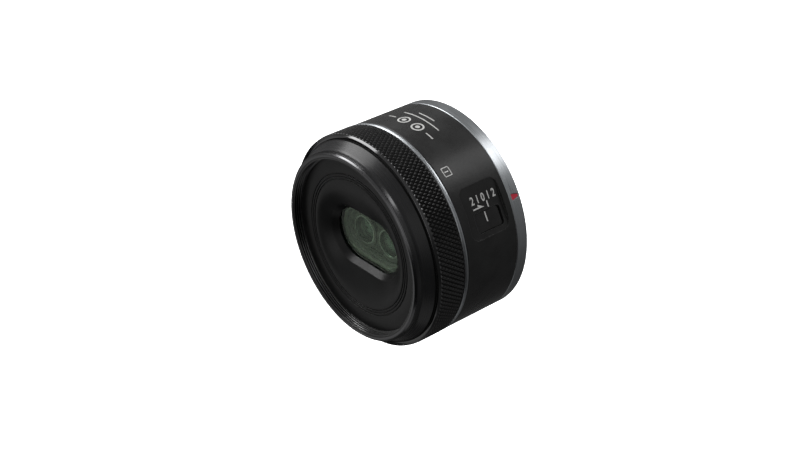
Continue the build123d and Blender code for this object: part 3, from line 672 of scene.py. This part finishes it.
# ================================================================ light trap and iris stops
# (radius of the round ends, station): a ledge under the glass, then two steps down to the optics.
TRAP_OUTLINE = [
    (8.3, 29.6), (8.3, 32.14), (7.66, 32.14), (7.58, 32.06), (7.42, 30.95), (7.34, 30.87), (6.55, 30.6),
    (6.46, 30.52), (6.34, 29.97), (6.28, 29.9), (5.95, 29.9), (5.95, 29.6),
]


def build_light_trap():
    """Steps behind the window, which run round both optics and swallow stray light."""

    def rows_at(angle):
        return [(stadium_reach(radius, angle), station) for radius, station in TRAP_OUTLINE]

    vertices, faces = closed_rows(rows_at, 240)
    return make_object("window_light_trap", vertices, faces, 40.0)


add_piece(build_light_trap(), "barrel", "chassis_plastic", material="light_trap")

# Fixed stop behind each iris: a thin ring with a sharp bore, which hides the gaps outside the closed blades.
STOP_CORNERS = [
    (2.2, 20.28, 0), (2.45, 20.15, 0.03), (3.66, 20.15, 0.03), (3.66, 20.45, 0.03), (2.45, 20.45, 0.03),
    (2.2, 20.32, 0),
]
for side, middle in (("right", AXIS_X), ("left", -AXIS_X)):
    stop = turned_piece(f"iris_stop_{side}", STOP_CORNERS, 96, steps=3, sharp_angle=25.0, middle=middle)
    add_piece(stop, "barrel", "blade_black")

# ================================================================ return spring of the switch
SPRING_ACROSS, SPRING_HEIGHT = -3.4, 31.15  # the coil's axis, across the flat and from the lens axis
SPRING_REAR, SPRING_FRONT = 6.72, 8.36
COIL_R, WIRE_R = 0.4, 0.07
COIL_TURNS = 5
COIL_STEPS, WIRE_SIDES = 160, 10  # mesh steps along the wire and round it


def on_flat(across, station, lift=0.0):
    """A point on the switch's flat: distance across it (mm), station (mm), height above it (mm)."""
    height = FLAT_HEIGHT + lift
    c, s = math.cos(SWITCH_ANGLE), math.sin(SWITCH_ANGLE)
    return ((height * c - across * s) * MM, -station * MM, (height * s + across * c) * MM)


def build_spring():
    """A wound wire between the switch base and the slider's flange."""
    travel = SPRING_FRONT - SPRING_REAR - 2 * WIRE_R
    vertices = []
    for i in range(COIL_STEPS + 1):
        turn = TAU * COIL_TURNS * i / COIL_STEPS
        middle = SPRING_REAR + WIRE_R + travel * i / COIL_STEPS
        for j in range(WIRE_SIDES):
            side = TAU * j / WIRE_SIDES
            reach = COIL_R + WIRE_R * math.cos(side)
            across = SPRING_ACROSS + reach * math.cos(turn)
            lift = SPRING_HEIGHT + reach * math.sin(turn) - FLAT_HEIGHT
            vertices.append(on_flat(across, middle + WIRE_R * math.sin(side), lift))
    faces = []
    for i in range(COIL_STEPS):
        here, there = i * WIRE_SIDES, (i + 1) * WIRE_SIDES
        for j in range(WIRE_SIDES):
            k = (j + 1) % WIRE_SIDES
            faces.append((here + j, here + k, there + k, there + j))
    last = COIL_STEPS * WIRE_SIDES
    faces += [tuple(range(WIRE_SIDES)), tuple(reversed(range(last, last + WIRE_SIDES)))]
    return make_object("return_spring", vertices, faces, 40.0)


# The spring gets a mesh of its own; spring_foot is the point of its rear end on the switch base.
return_spring = add_piece(build_spring(), "barrel", "screw_steel", "switch_spring")
spring_foot = on_flat(SPRING_ACROSS, SPRING_REAR, SPRING_HEIGHT - FLAT_HEIGHT)
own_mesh(return_spring)

# ================================================================ printed marks, and a frame of painted shade
PRINT_SKIN = 0.02  # how far a print stands above its surface, mm
PRINT_ROOT = 0.03  # and how far it reaches below


def on_barrel(angle_deg):
    """A placing function: arc length round the barrel from an angle, station, and height above the barrel."""
    start = math.radians(angle_deg)

    def place(arc, station, lift=0.0):
        return on_ring(BARREL_R + lift, station, start + arc / BARREL_R)

    return place


def glyph_mesh(text, size, bolder=0.0):
    """A flat mesh of a short text, triangulated and cut finely enough to follow the barrel."""
    curve = bpy.data.curves.new("glyphs", "FONT")
    curve.body = text
    curve.size = size
    curve.offset = bolder
    curve.align_x = "CENTER"
    curve.align_y = "CENTER"
    curve.resolution_u = 6
    holder = bpy.data.objects.new("glyphs", curve)
    bpy.context.scene.collection.objects.link(holder)
    bpy.context.view_layer.update()
    evaluated = holder.evaluated_get(bpy.context.evaluated_depsgraph_get())
    mesh = bpy.data.meshes.new_from_object(evaluated)
    bpy.data.objects.remove(holder)
    bm = bmesh.new()
    bm.from_mesh(mesh)
    bmesh.ops.remove_doubles(bm, verts=bm.verts, dist=1e-5)
    bmesh.ops.triangulate(bm, faces=bm.faces)
    for _ in range(6):
        long_edges = [e for e in bm.edges if e.calc_length() > 0.5]
        if not long_edges:
            break
        bmesh.ops.subdivide_edges(bm, edges=long_edges, cuts=1)
        bmesh.ops.triangulate(bm, faces=bm.faces)
    bm.to_mesh(mesh)
    bm.free()
    vertices = [(v.co.x, v.co.y) for v in mesh.vertices]
    faces = [tuple(p.vertices) for p in mesh.polygons]
    bpy.data.meshes.remove(mesh)
    return vertices, faces


def thicken(vertices, faces):
    """Top and bottom copies of a flat mesh, joined along its outline. Points become (u, v, level)."""
    count = len(vertices)
    solid = [(u, v, 1) for u, v in vertices] + [(u, v, 0) for u, v in vertices]
    sides = {}  # a dictionary keeps their order
    for face in faces:
        for a, b in zip(face, face[1:] + face[:1]):
            sides[(a, b)] = True
    walls = [(a, a + count, b + count, b) for a, b in sides if (b, a) not in sides]
    under = [tuple(i + count for i in reversed(face)) for face in faces]
    return solid, list(faces) + under + walls


def print_or_shade_piece(name, shapes, place, slot="white_print", material=None):
    """One printed mark, or a black frame of painted shade, on the barrel from flat shapes of (vertices,
    faces, to_surface), laid by place().
    """
    all_vertices = []
    all_faces = []
    for vertices, faces, to_surface in shapes:
        solid, solid_faces = thicken(vertices, faces)
        first = len(all_vertices)
        for u, v, level in solid:
            across, station = to_surface(u, v)
            all_vertices.append(place(across, station, PRINT_SKIN if level else -PRINT_ROOT))
        all_faces += [tuple(i + first for i in face) for face in solid_faces]
    add_piece(make_object(name, all_vertices, all_faces), "barrel", slot, material=material)


def ring_shape(outer, inner, segments):
    """A flat ring."""
    vertices = []
    for j in range(segments):
        angle = TAU * j / segments
        vertices += [(radius * math.cos(angle), radius * math.sin(angle)) for radius in (outer, inner)]
    faces = []
    for j in range(segments):
        a = 2 * j
        b = 2 * ((j + 1) % segments)
        faces.append((a, b, b + 1, a + 1))
    return vertices, faces


def frame_shape(width, height, line, corner):
    """A flat rectangular frame with rounded corners."""

    def loop(w, h, r):
        points = []
        for cx, cy, start in ((1, 1, 0), (-1, 1, 90), (-1, -1, 180), (1, -1, 270)):
            for k in range(7):
                a = math.radians(start + 15 * k)
                points.append((cx * (w / 2 - r) + r * math.cos(a), cy * (h / 2 - r) + r * math.sin(a)))
        fine = []
        for first, last in zip(points, points[1:] + points[:1]):
            fine += [tuple(Vector(first).lerp(Vector(last), k / 8)) for k in range(8)]
        return fine

    outer = loop(width, height, corner)
    inner = loop(width - 2 * line, height - 2 * line, max(corner - line, 0.02))
    count = len(outer)
    faces = []
    for i in range(count):
        k = (i + 1) % count
        faces.append((i, k, k + count, i + count))
    return outer + inner, faces


def bar_shape(width, height):
    """A flat bar, cut into columns so that it can follow the barrel."""
    columns = 40
    vertices = []
    for i in range(columns + 1):
        x = width * (i / columns - 0.5)
        vertices += [(x, -height / 2), (x, height / 2)]
    faces = [(2 * i, 2 * i + 2, 2 * i + 3, 2 * i + 1) for i in range(columns)]
    return vertices, faces


# Scale beside the switch: its reading direction runs to the rear, and its feet are towards the slider.
SCALE_ACROSS, SCALE_STATION = 3.35, 12.8
SCALE_STRETCH = 1.3  # the digits are taller than the font's
scale_vertices, scale_faces = glyph_mesh("2 1 0 1 2", 2.7, 0.045)
print_or_shade_piece(
    "switch_scale",
    [(scale_vertices, scale_faces, lambda u, v: (SCALE_ACROSS + SCALE_STRETCH * v, SCALE_STATION - u))],
    on_flat,
)

# Painted shade round the slider's window: a thin black frame stands for the shadow in the gap round the
# slider.
GAP_SHADE_LINE = 0.22
window_across = (SLIDER_WINDOW_LOW + SLIDER_WINDOW_HIGH) / 2
window_station = (SLIDER_WINDOW_REAR + SLIDER_WINDOW_FRONT) / 2
gap_shade_vertices, gap_shade_faces = frame_shape(
    SLIDER_WINDOW_HIGH - SLIDER_WINDOW_LOW + 2 * GAP_SHADE_LINE,
    SLIDER_WINDOW_FRONT - SLIDER_WINDOW_REAR + 2 * GAP_SHADE_LINE,
    GAP_SHADE_LINE,
    1.2,
)
print_or_shade_piece(
    "slider_gap_shade",
    [(gap_shade_vertices, gap_shade_faces, lambda u, v: (window_across + u, window_station + v))],
    on_flat,
    slot="blade_black",
)

# Boxed number on the barrel.
BOX_ANGLE, BOX_STATION = 52.5, 20.75
box_shapes = [
    (*shape, lambda u, v: (u, BOX_STATION + v))
    for shape in (glyph_mesh("1", 1.9, 0.07), frame_shape(3.1, 2.8, 0.24, 0.4))
]
print_or_shade_piece("boxed_number", box_shapes, on_barrel(BOX_ANGLE))

# Generic sign of two optics on top of the barrel, with a dash on each side and two lines behind it.
SIGN_ANGLE = 89.0
SIGN_STATION = 16.9
SIGN_HALF_GAP = 3.1  # from the sign's middle to the middle of each optic
BAR_HEIGHT = 0.42
SIGN_BARS = [  # (length, distance from the sign's middle, station)
    (16.0, 0.0, 12.7),
    (7.0, 0.0, 10.6),
    (3.2, 8.6, SIGN_STATION),
    (3.2, -8.6, SIGN_STATION),
]
sign_parts = [
    (shape, middle, SIGN_STATION)
    for middle in (-SIGN_HALF_GAP, SIGN_HALF_GAP)
    for shape in (ring_shape(2.1, 1.55, 64), ring_shape(0.75, 0.05, 32))
]
sign_parts += [(bar_shape(length, BAR_HEIGHT), middle, station) for length, middle, station in SIGN_BARS]
sign_shapes = [
    (*shape, lambda u, v, m=middle, s=station: (u + m, s + v)) for shape, middle, station in sign_parts
]
# The sign's white print is darkened with painted shade.
print_or_shade_piece("twin_optic_sign", sign_shapes, on_barrel(SIGN_ANGLE), material="print_painted_shade")

# ================================================================ camera
CAMERA_AT = Vector((0.301625, -0.268985, 0.230592))
CAMERA_AIM = Vector((-0.00070, -0.02107, -0.00024))
CAMERA_ROLL = math.radians(-1.54)
CAMERA_LENS = 65.7

camera_data = bpy.data.cameras.new("camera")
camera_data.sensor_width = 36.0
camera_data.lens = CAMERA_LENS
camera_data.clip_start = 0.01
camera_data.clip_end = 20.0
camera = bpy.data.objects.new("camera", camera_data)
camera.location = CAMERA_AT
camera.rotation_mode = "QUATERNION"
camera_facing = (CAMERA_AIM - CAMERA_AT).to_track_quat("-Z", "Y")
camera.rotation_quaternion = camera_facing @ Quaternion((0, 0, 1), CAMERA_ROLL)
bpy.context.scene.collection.objects.link(camera)
bpy.context.scene.camera = camera

# ================================================================ floor and light
FLOOR_Z = -0.16
FLOOR_HALF = 6.0
LIT_POINT = Vector((0, -0.02, 0))  # what the lights face


def build_floor():
    """A plain pale floor that glows a little, so that it comes out white, and throws no light on the lens."""
    mesh = bpy.data.meshes.new("studio_floor")
    corners = [(x * FLOOR_HALF, y * FLOOR_HALF, FLOOR_Z) for x, y in ((-1, -1), (1, -1), (1, 1), (-1, 1))]
    mesh.from_pydata(corners, [], [(0, 1, 2, 3)])
    floor = bpy.data.objects.new("studio_floor", mesh)
    bpy.context.scene.collection.objects.link(floor)
    material = bpy.data.materials.new("studio_floor")
    material.use_nodes = True
    shader = material.node_tree.nodes["Principled BSDF"]
    shader.inputs["Base Color"].default_value = (0.9, 0.9, 0.9, 1)
    shader.inputs["Roughness"].default_value = 0.9
    shader.inputs["Emission Color"].default_value = (1, 1, 1, 1)
    shader.inputs["Emission Strength"].default_value = 0.95
    mesh.materials.append(material)
    floor.visible_diffuse = False
    floor.visible_glossy = False
    floor.visible_transmission = False


def softbox(name, azimuth, elevation, width, height, watts, distance=1.0):
    """An area light in a direction (degrees from +X towards +Y, and above the floor), facing the lens."""
    data = bpy.data.lights.new(name, "AREA")
    data.shape = "RECTANGLE"
    data.size = width
    data.size_y = height
    data.energy = watts
    light = bpy.data.objects.new(name, data)
    a, e = math.radians(azimuth), math.radians(elevation)
    direction = Vector((math.cos(e) * math.cos(a), math.cos(e) * math.sin(a), math.sin(e)))
    light.location = LIT_POINT + direction * distance
    light.rotation_mode = "QUATERNION"
    light.rotation_quaternion = (-direction).to_track_quat("-Z", "Y")
    bpy.context.scene.collection.objects.link(light)


# Directions from which little light comes: (direction, where the fall starts, where it ends, what is left).
DARK_SIDES = [
    ((0.99, 0.06, -0.12), 0.80, 0.97, 0.3),  # the open side of the studio
    ((0.55, -0.66, -0.51), 0.80, 0.95, 0.15),  # below the camera
    ((-0.95, 0.30, -0.05), 0.80, 0.97, 0.5),  # far left
]


# Brightness of the surroundings, as (height of the direction, level), from straight down to straight up.
WORLD_LEVELS = [(-1.0, 0.05), (-0.7, 0.12), (0.0, 0.33), (0.5, 0.44), (1.0, 0.40)]


def multiplied(nodes, links, first, second):
    """The product of two outputs."""
    product = nodes.new("ShaderNodeMath")
    product.operation = "MULTIPLY"
    links.new(first, product.inputs[0])
    links.new(second, product.inputs[1])
    return product.outputs[0]


def set_world():
    """Grey surroundings, by the height of each direction, with a few dark sides."""
    world = bpy.data.worlds.new("studio")
    world.use_nodes = True
    nodes, links = world.node_tree.nodes, world.node_tree.links
    place = nodes.new("ShaderNodeTexCoord")
    parts = nodes.new("ShaderNodeSeparateXYZ")
    links.new(place.outputs["Generated"], parts.inputs[0])
    spread = nodes.new("ShaderNodeMapRange")
    spread.inputs["From Min"].default_value = -1.0
    links.new(parts.outputs["Z"], spread.inputs["Value"])
    shade = None
    for direction, start, end, left in DARK_SIDES:
        towards = nodes.new("ShaderNodeVectorMath")
        towards.operation = "DOT_PRODUCT"
        towards.inputs[1].default_value = direction
        links.new(place.outputs["Generated"], towards.inputs[0])
        fall = nodes.new("ShaderNodeMapRange")
        fall.interpolation_type = "SMOOTHSTEP"
        for socket, value in (("From Min", start), ("From Max", end), ("To Min", 1.0), ("To Max", left)):
            fall.inputs[socket].default_value = value
        links.new(towards.outputs["Value"], fall.inputs["Value"])
        result = fall.outputs["Result"]
        shade = result if shade is None else multiplied(nodes, links, shade, result)
    curve = nodes.new("ShaderNodeFloatCurve")
    points = curve.mapping.curves[0].points
    while len(points) < len(WORLD_LEVELS):
        points.new(0.5, 0.5)
    for point, (height, level) in zip(points, WORLD_LEVELS):
        point.location = ((height + 1) / 2, level)
        point.handle_type = "VECTOR"
    curve.mapping.update()
    links.new(spread.outputs["Result"], curve.inputs["Value"])
    strength = multiplied(nodes, links, curve.outputs["Value"], shade)
    links.new(strength, nodes["Background"].inputs["Strength"])
    nodes["Background"].inputs["Color"].default_value = (1, 1, 1, 1)
    bpy.context.scene.world = world


build_floor()
set_world()
# Direction (degrees), size (m) and power (W) of each light.
softbox("key_back_top", 62, 49, 0.40, 0.34, 2.4)
softbox("left_strip", 184, 48, 0.94, 0.66, 13.0)
softbox("front_fill", -55, 20, 1.0, 0.7, 0.9, distance=1.1)
softbox("front_floor", -50, -66, 1.0, 0.5, 0.6)
softbox("front_left_low", -142, -30, 0.5, 0.5, 0.33)
softbox("front_top", -142, 33, 0.36, 0.3, 2.7)
softbox("front_center", -90, 5, 0.6, 0.45, 1.3)
bpy.context.scene.view_settings.view_transform = "Standard"
bpy.context.scene.view_settings.look = "None"
